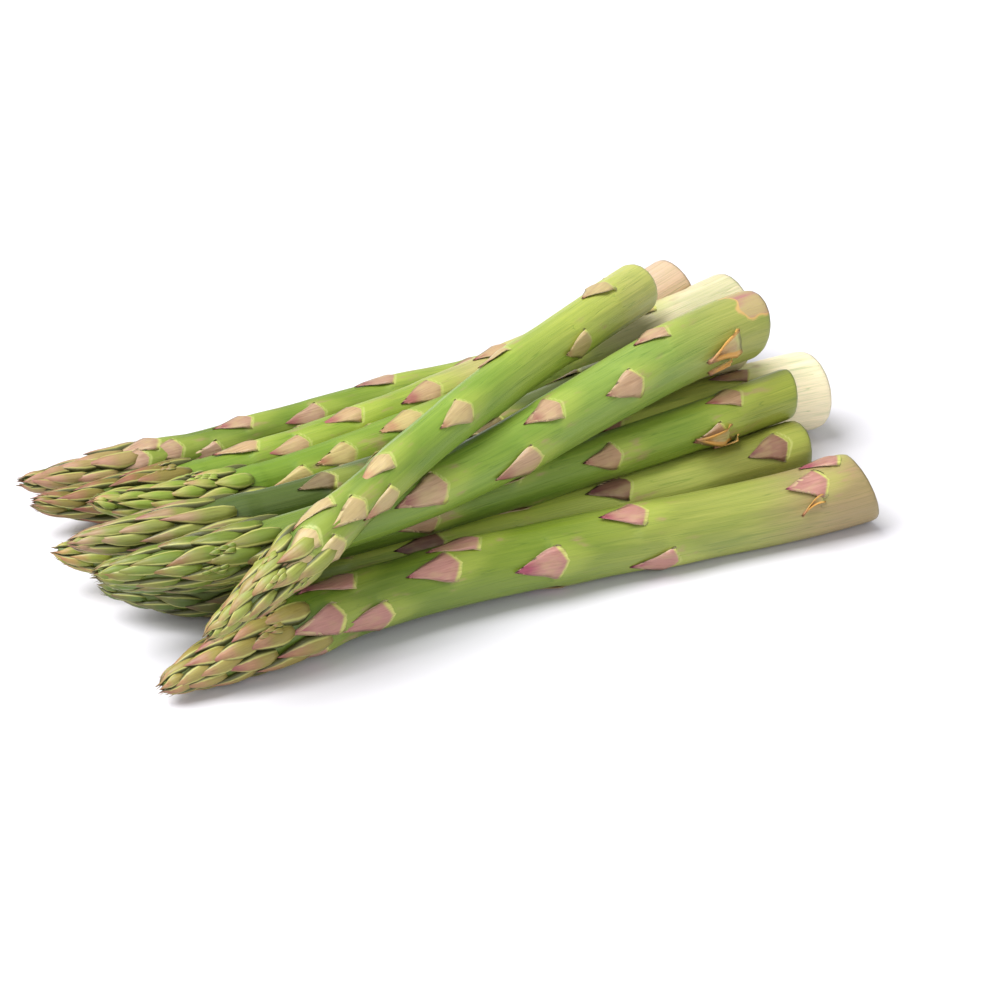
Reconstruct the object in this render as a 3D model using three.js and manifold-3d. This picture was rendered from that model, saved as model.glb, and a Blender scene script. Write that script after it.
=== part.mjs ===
// A bunch of ten fresh asparagus spears, lying loose in a pile on a table.
// Millimetres, +Z up, table top at Z = 0, cut ends towards +X, near side towards -Y.
// Each spear is one solid: its stalk, the scales along it and the bracts of its head grew together.

import * as THREE from 'three';
import { mergeVertices } from 'three/addons/utils/BufferGeometryUtils.js';
import Module from 'manifold-3d';

const wasm = await Module();
wasm.setup();

const { clamp, degToRad, lerp } = THREE.MathUtils;

// Each spear, from the near side of the pile to the back.
// route: the middle of the spear is a smooth curve drawn by these five points, cut end first.
// cutRadius, neckRadius: the stalk at its cut end, and just below the head.
// slant: how much the cut leans, as a share of the radius. slantTurn: the side left longer.
// A turn is in degrees round the stalk: 0 is the near side, 90 the top.
// scales: the triangular scales on the side that shows, as [distance from the cut end, turn].
const SPEARS = [
  {
    name: 'spear_front',
    colour: '#93a850',
    cutRadius: 10.4,
    neckRadius: 7.4,
    slant: 0.2,
    slantTurn: -80,
    route: [
      [103.7, -51.8, 10.3], [50.3, -50.6, 5.4], [-1.7, -44.2, 13.8],
      [-54.3, -48, 14.2], [-109.7, -58.3, 5.7],
    ],
    scales: [[3, 120], [16, 60], [64, -24], [72, 76], [99, 16], [121, 96], [130, 52], [152, -4], [158, 96]],
  },
  {
    name: 'spear_crossing',
    colour: '#a3b64e',
    cutRadius: 7.6,
    neckRadius: 5.2,
    slant: 0.2,
    slantTurn: 180,
    route: [
      [69.6, 22.8, 48.1], [23, -11.6, 53.1], [-20.9, -38.6, 58.4],
      [-57.7, -61.3, 44.2], [-99, -65.5, 22.6],
    ],
    scales: [[22, 100], [46, 0], [74, 130], [103, 48], [132, 84], [137, -4]],
  },
  {
    name: 'spear_thick',
    colour: '#86b84a',
    cutRadius: 9.8,
    neckRadius: 6,
    slant: 0.25,
    slantTurn: 98,
    route: [
      [91.8, -5, 44], [38.3, -18.4, 46.7], [-6.8, -43.2, 32.9],
      [-58.6, -50.6, 30.5], [-119.2, -38.5, 31.4],
    ],
    scales: [[2, 60], [17, 0], [35, 124], [54, 32], [81, 68], [94, -4], [124, 32], [148, 75]],
  },
  {
    name: 'spear_under',
    colour: '#8fa84a',
    cutRadius: 7.2,
    neckRadius: 5.8,
    slant: 0.3,
    slantTurn: 160,
    route: [
      [100.1, -15.7, 24.3], [43.5, -25.8, 23.3], [-13.4, -31.6, 23.7],
      [-66.4, -37.1, 20.3], [-113.3, -27.1, 21.5],
    ],
    scales: [[14, -40], [22, 76], [31, -4], [67, 28], [98, 70], [126, 10], [148, 60]],
  },
  {
    name: 'spear_middle',
    colour: '#7d9a45',
    cutRadius: 9,
    neckRadius: 6,
    slant: 0.15,
    slantTurn: 90,
    route: [
      [98, -25.4, 10.5], [32, -27.7, 6.6], [-29.8, -28.8, 9.4],
      [-80.4, -30.2, 4.4], [-111, -13.1, 12],
    ],
    scales: [[9, 52], [60, 64], [92, 0], [119, 44], [144, 85]],
  },
  {
    name: 'spear_white_end',
    colour: '#c6c98b',
    cutRadius: 12.4,
    neckRadius: 6.6,
    slant: 0.1,
    slantTurn: 0,
    route: [
      [118.6, 2.6, 12.8], [49.3, 2.9, 14.3], [-15.2, -5.4, 8.4],
      [-72.7, -10.4, 2.1], [-117.7, 6.2, 13.6],
    ],
    scales: [[25, 84], [70, 64], [98, 120], [124, 50], [150, 100], [172, 30]],
  },
  {
    name: 'spear_hidden',
    colour: '#a9ab72',
    cutRadius: 7.6,
    neckRadius: 5.4,
    slant: 0.1,
    slantTurn: 90,
    route: [
      [95.4, 8, 30.6], [37.8, 2.2, 33.8], [-11.9, -13.1, 20.7],
      [-59.9, -18.3, 22.7], [-116.8, -7.9, 23.6],
    ],
    scales: [[24, 110], [56, 130], [89, 60], [116, 110], [142, 70]],
  },
  {
    name: 'spear_green_head',
    colour: '#a5ba5e',
    cutRadius: 8.8,
    neckRadius: 5.6,
    slant: 0.1,
    slantTurn: 0,
    route: [
      [115.2, 45.5, 25.4], [48.8, 35.6, 15.4], [-11.4, 29.6, 10.9],
      [-61.1, 19.9, 2.2], [-101.2, 24, 15.9],
    ],
    scales: [[30, 110], [64, 80], [92, 120], [118, 70], [142, 44], [157, 16]],
  },
  {
    name: 'spear_purple_tip',
    colour: '#a89a6e',
    cutRadius: 8.3,
    neckRadius: 6,
    slant: 0.15,
    slantTurn: 0,
    route: [
      [103, 60.7, 27.2], [40, 50.3, 7.5], [-17.1, 41.3, 13.3],
      [-68.9, 34.3, -0.9], [-114.4, 38.2, 11.4],
    ],
    scales: [[32, 70], [66, 110], [94, 60], [120, 80], [140, 44], [154, 96]],
  },
  {
    name: 'spear_back',
    colour: '#a8a06a',
    cutRadius: 7.4,
    neckRadius: 5.3,
    slant: 0.15,
    slantTurn: 90,
    route: [
      [90.9, 59.3, 7.1], [36.2, 62.8, 6], [-16.8, 62.1, 11.9],
      [-66.7, 55.2, -0.9], [-112.9, 55.9, 8.6],
    ],
    scales: [[26, 100], [58, 70], [86, 115], [112, 40], [134, 84], [146, 16], [158, 50]],
  },
];

// Growth that all spears share.
const HEAD_LENGTH = 52;
const HEAD_SWELL = 0.22;
const HEAD_SHOULDER = 0.25;
const TIP_SHARE = 0.1;
const CORE_SLIMNESS = 0.24;
const HEAD_BRACTS = 20;
const GOLDEN_TURN = 137.5;
const BRACT_SWAY = 7;
const LAST_BRACT_FROM_TIP = 4.5;
const SCALE = { length: 14, width: 9.5, rise: 1 };
const LOW_BRACT = { length: 14.5, width: 7.4, rise: 2.2 };
const TOP_BRACT = { length: 8, width: 3.4, rise: 0.9 };
const SHIELD_OUTLINE = [
  { along: 0, breadth: 0.85, crown: 0.5 },
  { along: 0.45, breadth: 0.9, crown: 1 },
];
const SHIELD_TIP_CROWN = 0.4;
const EDGE_SINK = 0.2;
const WIDEST_SPREAD = 1.2;

// The far side, which the photo hides, has scales like the near one's, this far apart.
const FIRST_FAR_SCALE = 12;
const FAR_SCALE_STEP = 40;
const FAR_TURNS = [175, 225, 275];

// How finely the solids are faceted, and how close two spears may lie.
const STALK_SIDES = 12;
const RING_STEP = 20;
const HEAD_RINGS = [0, 0.25, 0.5, 0.72, 0.88, 1];
const ROUTE_STEPS = 120;
const SPEAR_GAP = 0.35;

// A small unevenness, from -1 to 1, that is the same each time for one spear and one count.
function unevenness(spear, count) {
  return Math.sin(12.9 * count + 4.1 * SPEARS.indexOf(spear));
}

// A point of the spear's middle line, a share of the way along its route.
function routePoint(spear, share) {
  let points = spear.route.map((corner) => new THREE.Vector3(...corner));
  while (points.length > 1) {
    points = points.slice(1).map((point, i) => points[i].clone().lerp(point, share));
  }
  return points[0];
}

// Walks the route once, so that places along the spear can be given as distances from the cut end.
function measureRoute(spear) {
  spear.walk = [{ point: routePoint(spear, 0), distance: 0 }];
  for (let step = 1; step <= ROUTE_STEPS; step += 1) {
    const point = routePoint(spear, step / ROUTE_STEPS);
    const last = spear.walk[step - 1];
    spear.walk.push({ point, distance: last.distance + point.distanceTo(last.point) });
  }
  spear.length = spear.walk[ROUTE_STEPS].distance;
}

// The spear's middle and its directions there: onward to the tip, to the near side, and to the top.
function frameAt(spear, distance) {
  const found = spear.walk.findIndex((mark) => mark.distance > distance);
  const step = found < 0 ? ROUTE_STEPS : Math.max(found, 1);
  const before = spear.walk[step - 1];
  const stride = spear.walk[step].distance - before.distance;
  const share = (step - 1 + (distance - before.distance) / stride) / ROUTE_STEPS;
  const ahead = routePoint(spear, share + 0.005);
  const onward = ahead.sub(routePoint(spear, share - 0.005)).normalize();
  const near = new THREE.Vector3(0, 0, 1).cross(onward).normalize();
  return { middle: routePoint(spear, share), near, top: onward.clone().cross(near) };
}

// The spear's radius over its bracts: a stalk that thins evenly, then a head that swells and tapers.
function outerRadius(spear, distance) {
  const along = clamp(distance / spear.length, 0, 1);
  const stalk = lerp(spear.cutRadius, spear.neckRadius, along ** 0.9);
  const head = headShare(spear, distance);
  const swell = 1 + HEAD_SWELL * Math.sin(Math.PI * Math.min(head * 1.15, 1));
  const taper = Math.sqrt(1 - clamp((head - HEAD_SHOULDER) / (1 - HEAD_SHOULDER), 0, 1) ** 2);
  return stalk * swell * lerp(TIP_SHARE, 1, taper);
}

// How far up the head a place is: 0 on the stalk, 1 at the very tip.
function headShare(spear, distance) {
  return clamp((distance - spear.length + HEAD_LENGTH) / HEAD_LENGTH, 0, 1);
}

// The radius that scales and bracts grow out of. In the head it is the slim core under the bracts.
function coreRadius(spear, distance) {
  return outerRadius(spear, distance) * (1 - CORE_SLIMNESS * Math.min(headShare(spear, distance) * 4, 1));
}

// How far a point is outside the nearest of the other spears.
function roomAround(spear, point) {
  let room = Infinity;
  for (const other of SPEARS) {
    if (other === spear) continue;
    for (const mark of other.walk) {
      room = Math.min(room, point.distanceTo(mark.point) - outerRadius(other, mark.distance));
    }
  }
  return room;
}

// A point on or in the spear. Where two spears press together it draws back and leaves the other room.
function place(spear, distance, turn, radius) {
  const { middle, near, top } = frameAt(spear, distance);
  const outward = near.multiplyScalar(Math.cos(turn)).addScaledVector(top, Math.sin(turn));
  const full = outerRadius(spear, distance);
  let reach = radius;
  for (let pass = 0; pass < 5; pass += 1) {
    const room = roomAround(spear, middle.clone().addScaledVector(outward, reach));
    reach -= Math.max(0, reach - full + SPEAR_GAP - room) * 0.55;
  }
  return middle.addScaledVector(outward, reach);
}

// A closed solid from rings of points, each going round the same way, that ends in one point.
function solidFromRings(rings, end) {
  const count = rings[0].length;
  const corners = [];
  for (let i = 1; i < count - 1; i += 1) {
    corners.push(rings[0][0], rings[0][i + 1], rings[0][i]);
  }
  for (let r = 1; r < rings.length; r += 1) {
    for (let i = 0; i < count; i += 1) {
      const j = (i + 1) % count;
      corners.push(rings[r - 1][i], rings[r - 1][j], rings[r][i]);
      corners.push(rings[r - 1][j], rings[r][j], rings[r][i]);
    }
  }
  const last = rings[rings.length - 1];
  last.forEach((point, i) => corners.push(end, point, last[(i + 1) % count]));
  return toManifold(new THREE.BufferGeometry().setFromPoints(corners));
}

function toManifold(geometry) {
  geometry.deleteAttribute('normal');
  geometry.deleteAttribute('uv');
  const merged = mergeVertices(geometry);
  const vertProperties = Float32Array.from(merged.attributes.position.array);
  const triVerts = Uint32Array.from(merged.index.array);
  return new wasm.Manifold(new wasm.Mesh({ numProp: 3, vertProperties, triVerts }));
}

// The stalk and, inside the head, the slim core. The cut end leans by the spear's slant.
function makeStalk(spear) {
  const distances = [0];
  const stalkRings = Math.round((spear.length - HEAD_LENGTH) / RING_STEP);
  for (let ring = 1; ring < stalkRings; ring += 1) {
    distances.push(((spear.length - HEAD_LENGTH) * ring) / stalkRings);
  }
  for (const share of HEAD_RINGS) {
    distances.push(spear.length - HEAD_LENGTH * (1 - share));
  }
  const rings = distances.map((distance) => {
    const ring = [];
    for (let side = 0; side < STALK_SIDES; side += 1) {
      const turn = (2 * Math.PI * side) / STALK_SIDES;
      const radius = coreRadius(spear, distance);
      const lean = distance > 0 ? 0 : spear.slant * radius * Math.cos(turn - degToRad(spear.slantTurn));
      ring.push(place(spear, distance - lean, turn, radius));
    }
    return ring;
  });
  return solidFromRings(rings, place(spear, spear.length + 0.5, 0, 0));
}

// One scale or bract: a pointed shield whose base faces the cut end and whose point faces the tip.
// It is crowned along its middle, and its edges and its root are sunk into the stalk.
function makeShield(spear, start, turn, { length, width, rise }) {
  const rings = SHIELD_OUTLINE.map(({ along, breadth, crown }) => {
    const distance = start + along * length;
    const core = coreRadius(spear, distance);
    const spread = Math.min((width * breadth) / 2 / core, WIDEST_SPREAD);
    return [
      place(spear, distance, turn, core + crown * rise),
      place(spear, distance, turn + spread, core - EDGE_SINK),
      place(spear, distance, turn - spread, core - EDGE_SINK),
    ];
  });
  const end = start + length;
  const tip = place(spear, end, turn, coreRadius(spear, end) + SHIELD_TIP_CROWN * rise);
  return solidFromRings(rings, tip);
}

// The scales that show, and others like them up the far side of the stalk.
function makeScales(spear) {
  const places = [...spear.scales];
  const neck = spear.length - HEAD_LENGTH - SCALE.length / 2;
  for (let count = 0; FIRST_FAR_SCALE + count * FAR_SCALE_STEP < neck; count += 1) {
    const distance = FIRST_FAR_SCALE + count * FAR_SCALE_STEP + 4 * unevenness(spear, count);
    places.push([distance, FAR_TURNS[count % FAR_TURNS.length]]);
  }
  return places.map(([distance, turn]) => makeShield(spear, distance, degToRad(turn), SCALE));
}

// The head: bracts in a spiral that closes up towards the tip, each slimmer than the one below.
function makeBracts(spear) {
  const bracts = [];
  for (let count = 0; count < HEAD_BRACTS; count += 1) {
    const share = count / (HEAD_BRACTS - 1);
    const fromTip = lerp(LAST_BRACT_FROM_TIP, HEAD_LENGTH, (1 - share) ** 1.3);
    const turn = degToRad(GOLDEN_TURN * count + BRACT_SWAY * unevenness(spear, count));
    bracts.push(makeShield(spear, spear.length - fromTip, turn, {
      length: Math.min(lerp(LOW_BRACT.length, TOP_BRACT.length, share), fromTip + 0.8),
      width: lerp(LOW_BRACT.width, TOP_BRACT.width, share),
      rise: lerp(LOW_BRACT.rise, TOP_BRACT.rise, share) * (1 + 0.12 * unevenness(spear, share)),
    }));
  }
  return bracts;
}

// What the table takes up: a block whose top is at Z = 0. It presses a flat strip on what lies on it.
function makeTableBlock() {
  const block = new THREE.BoxGeometry(400, 300, 20);
  block.translate(0, 0, -10);
  return toManifold(block);
}

// The outer body alone, with any pocket that the bracts close off filled in.
function outerBody(solid) {
  const bodies = solid.decompose();
  return bodies.reduce((largest, body) => (body.volume() > largest.volume() ? body : largest));
}

function makeSpear(spear, tableBlock) {
  const grown = wasm.Manifold.union([makeStalk(spear), ...makeScales(spear), ...makeBracts(spear)]);
  const { vertProperties, triVerts } = outerBody(grown.subtract(tableBlock)).getMesh();
  const geometry = new THREE.BufferGeometry();
  geometry.setAttribute('position', new THREE.BufferAttribute(vertProperties, 3));
  geometry.setIndex(new THREE.BufferAttribute(triVerts, 1));
  geometry.computeVertexNormals();
  const material = new THREE.MeshStandardMaterial({ color: spear.colour, roughness: 0.5, metalness: 0 });
  const mesh = new THREE.Mesh(geometry, material);
  mesh.name = spear.name;
  return mesh;
}

SPEARS.forEach(measureRoute);
const tableBlock = makeTableBlock();
const bunch = new THREE.Group();
for (const spear of SPEARS) {
  bunch.add(makeSpear(spear, tableBlock));
}

export default bunch;
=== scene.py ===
import math
import bmesh
import bpy
import numpy as np
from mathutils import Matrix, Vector


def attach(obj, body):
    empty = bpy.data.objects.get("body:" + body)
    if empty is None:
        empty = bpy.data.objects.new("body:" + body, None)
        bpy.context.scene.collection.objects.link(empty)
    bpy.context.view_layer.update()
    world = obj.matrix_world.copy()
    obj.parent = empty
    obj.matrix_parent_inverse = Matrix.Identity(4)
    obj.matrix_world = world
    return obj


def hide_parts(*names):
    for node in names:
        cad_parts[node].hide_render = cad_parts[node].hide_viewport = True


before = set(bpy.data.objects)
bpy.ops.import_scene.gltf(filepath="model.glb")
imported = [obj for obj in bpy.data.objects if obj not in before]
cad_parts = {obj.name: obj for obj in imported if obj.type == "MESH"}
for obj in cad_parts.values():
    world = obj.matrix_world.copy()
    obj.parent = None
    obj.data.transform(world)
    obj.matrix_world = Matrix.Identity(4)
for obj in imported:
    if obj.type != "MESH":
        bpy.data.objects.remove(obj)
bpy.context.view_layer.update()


# Camera
# It stands left of the near side and looks down at the pile through a long lens, so that the
# heads point to the left and the cut ends turn away to the right.
CAMERA_TURN = math.radians(-25)
CAMERA_RISE = math.radians(30)
CAMERA_DISTANCE = 0.778
LOOKED_AT = Vector((0.0014, -0.0268, 0.018))

camera_data = bpy.data.cameras.new("camera")
camera_data.lens = 100
camera_data.sensor_width = 36
camera = bpy.data.objects.new("camera", camera_data)
towards_camera = Vector((
    math.sin(CAMERA_TURN) * math.cos(CAMERA_RISE),
    -math.cos(CAMERA_TURN) * math.cos(CAMERA_RISE),
    math.sin(CAMERA_RISE),
))
camera.location = LOOKED_AT + towards_camera * CAMERA_DISTANCE
camera.rotation_euler = towards_camera.to_track_quat("Z", "Y").to_euler()
bpy.context.collection.objects.link(camera)
bpy.context.scene.camera = camera


# The ten spears as they lie
# Each spear grew as one piece along a slightly bowed line. Five of them lie on the table and the
# others lean on those. Sizes are in millimetres here, and MM turns them into metres.
MM = 0.001
THINNING = 0.9
HEAD_LENGTH = 52
HEAD_SWELL = 0.22
SWELL_REACH = 1.15
HEAD_SHOULDER = 0.25
TIP_SHARE = 0.1
CORE_SLIMNESS = 0.24
CORE_ONSET = 4
ROUTE_STEPS = 120
TANGENT_STEP = 0.005

# Spears that press together are this far apart, which is found in a few rounds of drawing back by
# a share of what is too much, and all of them stay this far above the table.
SPEAR_GAP = 0.12
PRESS_ROUNDS = 5
PRESS_SHARE = 0.55
TABLE_GAP = 0.02

# route: five points that draw the middle line, cut end first. cut and neck: the stalk's radius at
# the cut end and below the head. slant: how much the cut leans, and slant_turn the side left longer.
# Turns are in degrees round the stalk: 0 is the near side and 90 the top. scales: distance from the
# cut end and turn of each scale that shows. bracts_reach: how far from the tip the first bracts are.
SPEARS = {
    "spear_front": dict(
        route=[(103.7, -51.8, 10.3), (50.3, -50.6, 5.4), (-1.7, -44.2, 13.8), (-54.3, -48, 14.2),
               (-109.7, -58.3, 5.7)],
        cut=10.4, neck=7.4, slant=0.2, slant_turn=-80, bracts_reach=46,
        scales=[(8, 106), (16, 60), (64, -24), (72, 76), (99, 16), (121, 96), (130, 52), (152, -4),
                (158, 96), (166, 24), (171, -44)]),
    "spear_crossing": dict(
        route=[(69.6, 22.8, 48.1), (23, -11.6, 53.1), (-20.9, -38.6, 58.4), (-57.7, -61.3, 44.2),
               (-99, -65.5, 22.6)],
        cut=7.6, neck=5.2, slant=0.2, slant_turn=180, bracts_reach=38,
        scales=[(22, 100), (46, 0), (74, 130), (103, 48), (132, 84), (137, -4), (147, 40), (152, 110),
                (158, 0), (162, 62), (167, 24)]),
    "spear_thick": dict(
        route=[(91.8, -5, 44), (38.3, -18.4, 46.7), (-6.8, -43.2, 32.9), (-58.6, -50.6, 30.5),
               (-119.2, -38.5, 31.4)],
        cut=9.8, neck=6, slant=0.25, slant_turn=98, bracts_reach=52,
        scales=[(35, 100), (54, 32), (81, 68), (94, -4), (124, 32), (148, 75)]),
    "spear_under": dict(
        route=[(100.1, -15.7, 24.3), (43.5, -25.8, 23.3), (-13.4, -31.6, 23.7), (-66.4, -37.1, 20.3),
               (-113.3, -27.1, 21.5)],
        cut=7.2, neck=5.8, slant=0.3, slant_turn=160, bracts_reach=50,
        scales=[(22, 76), (31, -4), (67, 28), (98, 70), (126, 10), (148, 60)]),
    "spear_middle": dict(
        route=[(98, -25.4, 10.5), (32, -27.7, 6.6), (-29.8, -28.8, 9.4), (-80.4, -30.2, 4.4),
               (-111, -13.1, 12)],
        cut=9, neck=6, slant=0.15, slant_turn=90, bracts_reach=52,
        scales=[(9, 52), (60, 64), (92, 0), (119, 44), (144, 85)]),
    "spear_white_end": dict(
        route=[(118.6, 2.6, 12.8), (49.3, 2.9, 14.3), (-15.2, -5.4, 8.4), (-72.7, -10.4, 2.1),
               (-117.7, 6.2, 13.6)],
        cut=12.4, neck=6.6, slant=0.1, slant_turn=0, bracts_reach=48,
        scales=[(25, 84), (70, 64), (98, 120), (124, 50), (150, 100), (172, 30)]),
    "spear_hidden": dict(
        route=[(95.4, 8, 30.6), (37.8, 2.2, 33.8), (-11.9, -13.1, 20.7), (-59.9, -18.3, 22.7),
               (-116.8, -7.9, 23.6)],
        cut=7.6, neck=5.4, slant=0.1, slant_turn=90, bracts_reach=48,
        scales=[(24, 110), (56, 130), (89, 60), (116, 110), (142, 70)]),
    "spear_green_head": dict(
        route=[(115.2, 45.5, 25.4), (48.8, 35.6, 15.4), (-11.4, 29.6, 10.9), (-61.1, 19.9, 2.2),
               (-101.2, 24, 15.9)],
        cut=8.8, neck=5.6, slant=0.1, slant_turn=0, bracts_reach=50,
        scales=[(30, 110), (64, 80), (92, 120), (118, 70), (142, 44), (157, 16)]),
    "spear_purple_tip": dict(
        route=[(103, 60.7, 27.2), (40, 50.3, 7.5), (-17.1, 41.3, 13.3), (-68.9, 34.3, -0.9),
               (-114.4, 38.2, 11.4)],
        cut=8.3, neck=6, slant=0.15, slant_turn=0, bracts_reach=50,
        scales=[(32, 70), (66, 96), (94, 60), (120, 80), (140, 44), (154, 96)]),
    "spear_back": dict(
        route=[(90.9, 59.3, 7.1), (36.2, 62.8, 6), (-16.8, 62.1, 11.9), (-66.7, 55.2, -0.9),
               (-112.9, 55.9, 8.6)],
        cut=7.4, neck=5.3, slant=0.15, slant_turn=90, bracts_reach=38,
        scales=[(26, 100), (58, 70), (86, 100), (112, 40), (134, 84), (146, 16), (158, 50), (164, 90),
                (169, 44)]),
}


def route_points(spear, shares):
    """Points of the middle line, each a share of the way along the route."""
    points = [np.tile(np.array(corner, float), (len(shares), 1)) for corner in spear["route"]]
    while len(points) > 1:
        points = [a + (b - a) * shares[:, None] for a, b in zip(points, points[1:])]
    return points[0]


def head_share(spear, distances):
    """How far up the head a place is: 0 on the stalk, 1 at the very tip."""
    return np.clip((distances - spear["length"] + HEAD_LENGTH) / HEAD_LENGTH, 0, 1)


def outer_radius(spear, distances):
    """The radius over the bracts: a stalk that thins evenly, then a head that swells and tapers."""
    along = np.clip(distances / spear["length"], 0, 1)
    stalk = spear["cut"] + (spear["neck"] - spear["cut"]) * along ** THINNING
    head = head_share(spear, distances)
    swell = 1 + HEAD_SWELL * np.sin(np.pi * np.minimum(head * SWELL_REACH, 1))
    taper = np.sqrt(1 - np.clip((head - HEAD_SHOULDER) / (1 - HEAD_SHOULDER), 0, 1) ** 2)
    return stalk * swell * (TIP_SHARE + (1 - TIP_SHARE) * taper)


def bracts_share(spear, distances):
    """How far up the bracts a place is: below 0 on the stalk, 1 at the very tip."""
    return (distances - spear["length"] + spear["bracts_reach"]) / spear["bracts_reach"]


def core_radius(spear, distances):
    """The radius that scales and bracts grow out of: in the head it is the slim core under them."""
    slimmer = CORE_SLIMNESS * np.clip(bracts_share(spear, distances) * CORE_ONSET, 0, 1)
    return outer_radius(spear, distances) * (1 - slimmer)


def room_around(spear, points):
    """How far each point is outside the nearest of the other spears."""
    room = np.full(len(points), np.inf)
    for other in SPEARS.values():
        if other is spear:
            continue
        squares = (points ** 2).sum(1)[:, None] + (other["walk"] ** 2).sum(1)
        squares = squares - 2 * points @ other["walk"].T
        room = np.minimum(room, (np.sqrt(np.maximum(squares, 0)) - other["radii"]).min(1))
    return room


def place(spear, distances, turns, reaches):
    """Points on the spear, in millimetres. Where two spears press together they draw back from each
    other, and where a spear lies on the table its skin is flat."""
    ends = spear["marks"][[1, -2]]
    shares = np.interp(distances, spear["marks"], np.linspace(0, 1, ROUTE_STEPS + 1))
    shares = shares + np.minimum(distances, 0) / ends[0] / ROUTE_STEPS
    shares = shares + np.maximum(distances - spear["length"], 0) / (spear["length"] - ends[1]) / ROUTE_STEPS
    onward = route_points(spear, shares + TANGENT_STEP) - route_points(spear, shares - TANGENT_STEP)
    onward /= np.linalg.norm(onward, axis=1)[:, None]
    near = np.cross(np.array([0.0, 0.0, 1.0]), onward)
    near /= np.linalg.norm(near, axis=1)[:, None]
    top = np.cross(onward, near)
    middle = route_points(spear, shares)
    outward = near * np.cos(turns)[:, None] + top * np.sin(turns)[:, None]
    full = outer_radius(spear, distances)
    reaches = np.array(reaches, float)
    left = np.arange(len(reaches))
    for _ in range(PRESS_ROUNDS):
        points = middle[left] + outward[left] * reaches[left][:, None]
        excess = reaches[left] - full[left] + SPEAR_GAP - room_around(spear, points)
        left = left[excess > 0]
        reaches[left] -= excess[excess > 0] * PRESS_SHARE
    points = middle + outward * reaches[:, None]
    points[:, 2] = np.maximum(points[:, 2], TABLE_GAP)
    return points


for name, spear in SPEARS.items():
    spear["seed"] = list(SPEARS).index(name)
    spear["walk"] = route_points(spear, np.linspace(0, 1, ROUTE_STEPS + 1))
    steps = np.linalg.norm(np.diff(spear["walk"], axis=0), axis=1)
    spear["marks"] = np.concatenate([[0], np.cumsum(steps)])
    spear["length"] = spear["marks"][-1]
    spear["radii"] = outer_radius(spear, spear["marks"])


# Stalks
# A stalk is firm green flesh under a smooth waxy skin with faint ribs. It is a little swollen below
# each scale, pale or pink where it was cut, and the cut face shows the fibres that run through it.
STALK_SIDES = 72
STALK_RINGS = 300
FIRST_RINGS = 100
CUT_INSETS = (0.05, 0.12, 0.2, 0.2, 0.2)
CUT_PLANE = 1e-4
CUT_RIM = 0.97
CUT_HOLLOW = 0.5
CUT_ROUNDING = 0.035
CUT_ROUNDING_REACH = 0.8
LEAN_REACH = 26
TIP_GAP = 0.5
OVALNESS = 0.018
OVAL_PITCH = 60
RIBS = 17
RIB_HEIGHT = 0.04
RIB_SWAY = 0.8
RIB_SWAY_PITCH = 31
GRAIN_SHIFT = 300

# Scales of the far side: the first one's distance from the cut end, the steps between them, how much
# they stray from those, their turns, and how far before the first bracts they stop.
FIRST_FAR_SCALE = 12
FAR_SCALE_STEP = 40
FAR_SCALE_WOBBLE = 4
FAR_TURNS = (175, 225, 275)
NECK_GAP = 7

# A scale is this wide where the stalk has its full radius. Its foot line bows back by the arch, a
# narrow pale line runs along it, and the skin swells on both sides of it.
SCALE_WIDTH = 9.5
FULL_SIZE_RADIUS = 7.4
NODE_ARCH = 2.8
FOOT_BOW = 1.15
FOOT_LINE_BACK = 0.25
FOOT_LINE_WIDTH = 0.85
FOOT_LINE_SIDES = 0.97
NODE_SWELL = 0.8
SWELL_BELOW = 11
SWELL_ABOVE = 2.2
SWELL_SPREAD = 1.5

# Colours at the cut end, a little way up, half way and at the neck, and where the first two end.
STALK_COLOURS = {
    "spear_front": (
        (0.32, 0.24, 0.11), (0.28, 0.31, 0.062), (0.165, 0.235, 0.02), (0.115, 0.18, 0.014), 0.06, 0.2),
    "spear_crossing": (
        (0.47, 0.48, 0.12), (0.37, 0.43, 0.07), (0.20, 0.31, 0.036), (0.11, 0.18, 0.018), 0.05, 0.2),
    "spear_thick": (
        (0.32, 0.34, 0.08), (0.23, 0.33, 0.06), (0.195, 0.30, 0.036), (0.13, 0.195, 0.02), 0.05, 0.2),
    "spear_under": (
        (0.28, 0.32, 0.045), (0.22, 0.31, 0.036), (0.155, 0.24, 0.028), (0.13, 0.2, 0.02), 0.05, 0.2),
    # Painted light: the middle spear's colour half way is made lighter, making up for the shade that stretch
    # lies in.
    "spear_middle": (
        (0.22, 0.23, 0.04), (0.39, 0.43, 0.09), (0.44, 0.54, 0.08), (0.27, 0.33, 0.04), 0.1, 0.2),
    "spear_white_end": (
        (0.86, 0.76, 0.52), (0.42, 0.46, 0.09), (0.25, 0.35, 0.04), (0.20, 0.30, 0.03), 0.05, 0.13),
    # Painted shade: the hidden spear's stalk colours past its cut end are darkened, as it lies in deep shade
    # between the others.
    "spear_hidden": (
        (0.62, 0.56, 0.32), (0.11, 0.125, 0.03), (0.075, 0.11, 0.018), (0.065, 0.10, 0.013), 0.08, 0.16),
    # Painted shadow: the green-headed spear's colour a little way up is darkened where the crossing spear
    # shades it.
    "spear_green_head": (
        (0.64, 0.57, 0.36), (0.09, 0.085, 0.03), (0.20, 0.30, 0.03), (0.15, 0.25, 0.018), 0.095, 0.17),
    "spear_purple_tip": (
        (0.58, 0.42, 0.28), (0.48, 0.42, 0.16), (0.25, 0.34, 0.033), (0.17, 0.26, 0.024), 0.1, 0.3),
    "spear_back": (
        (0.62, 0.58, 0.30), (0.34, 0.41, 0.07), (0.18, 0.26, 0.026), (0.115, 0.175, 0.018), 0.08, 0.25),
}

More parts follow.
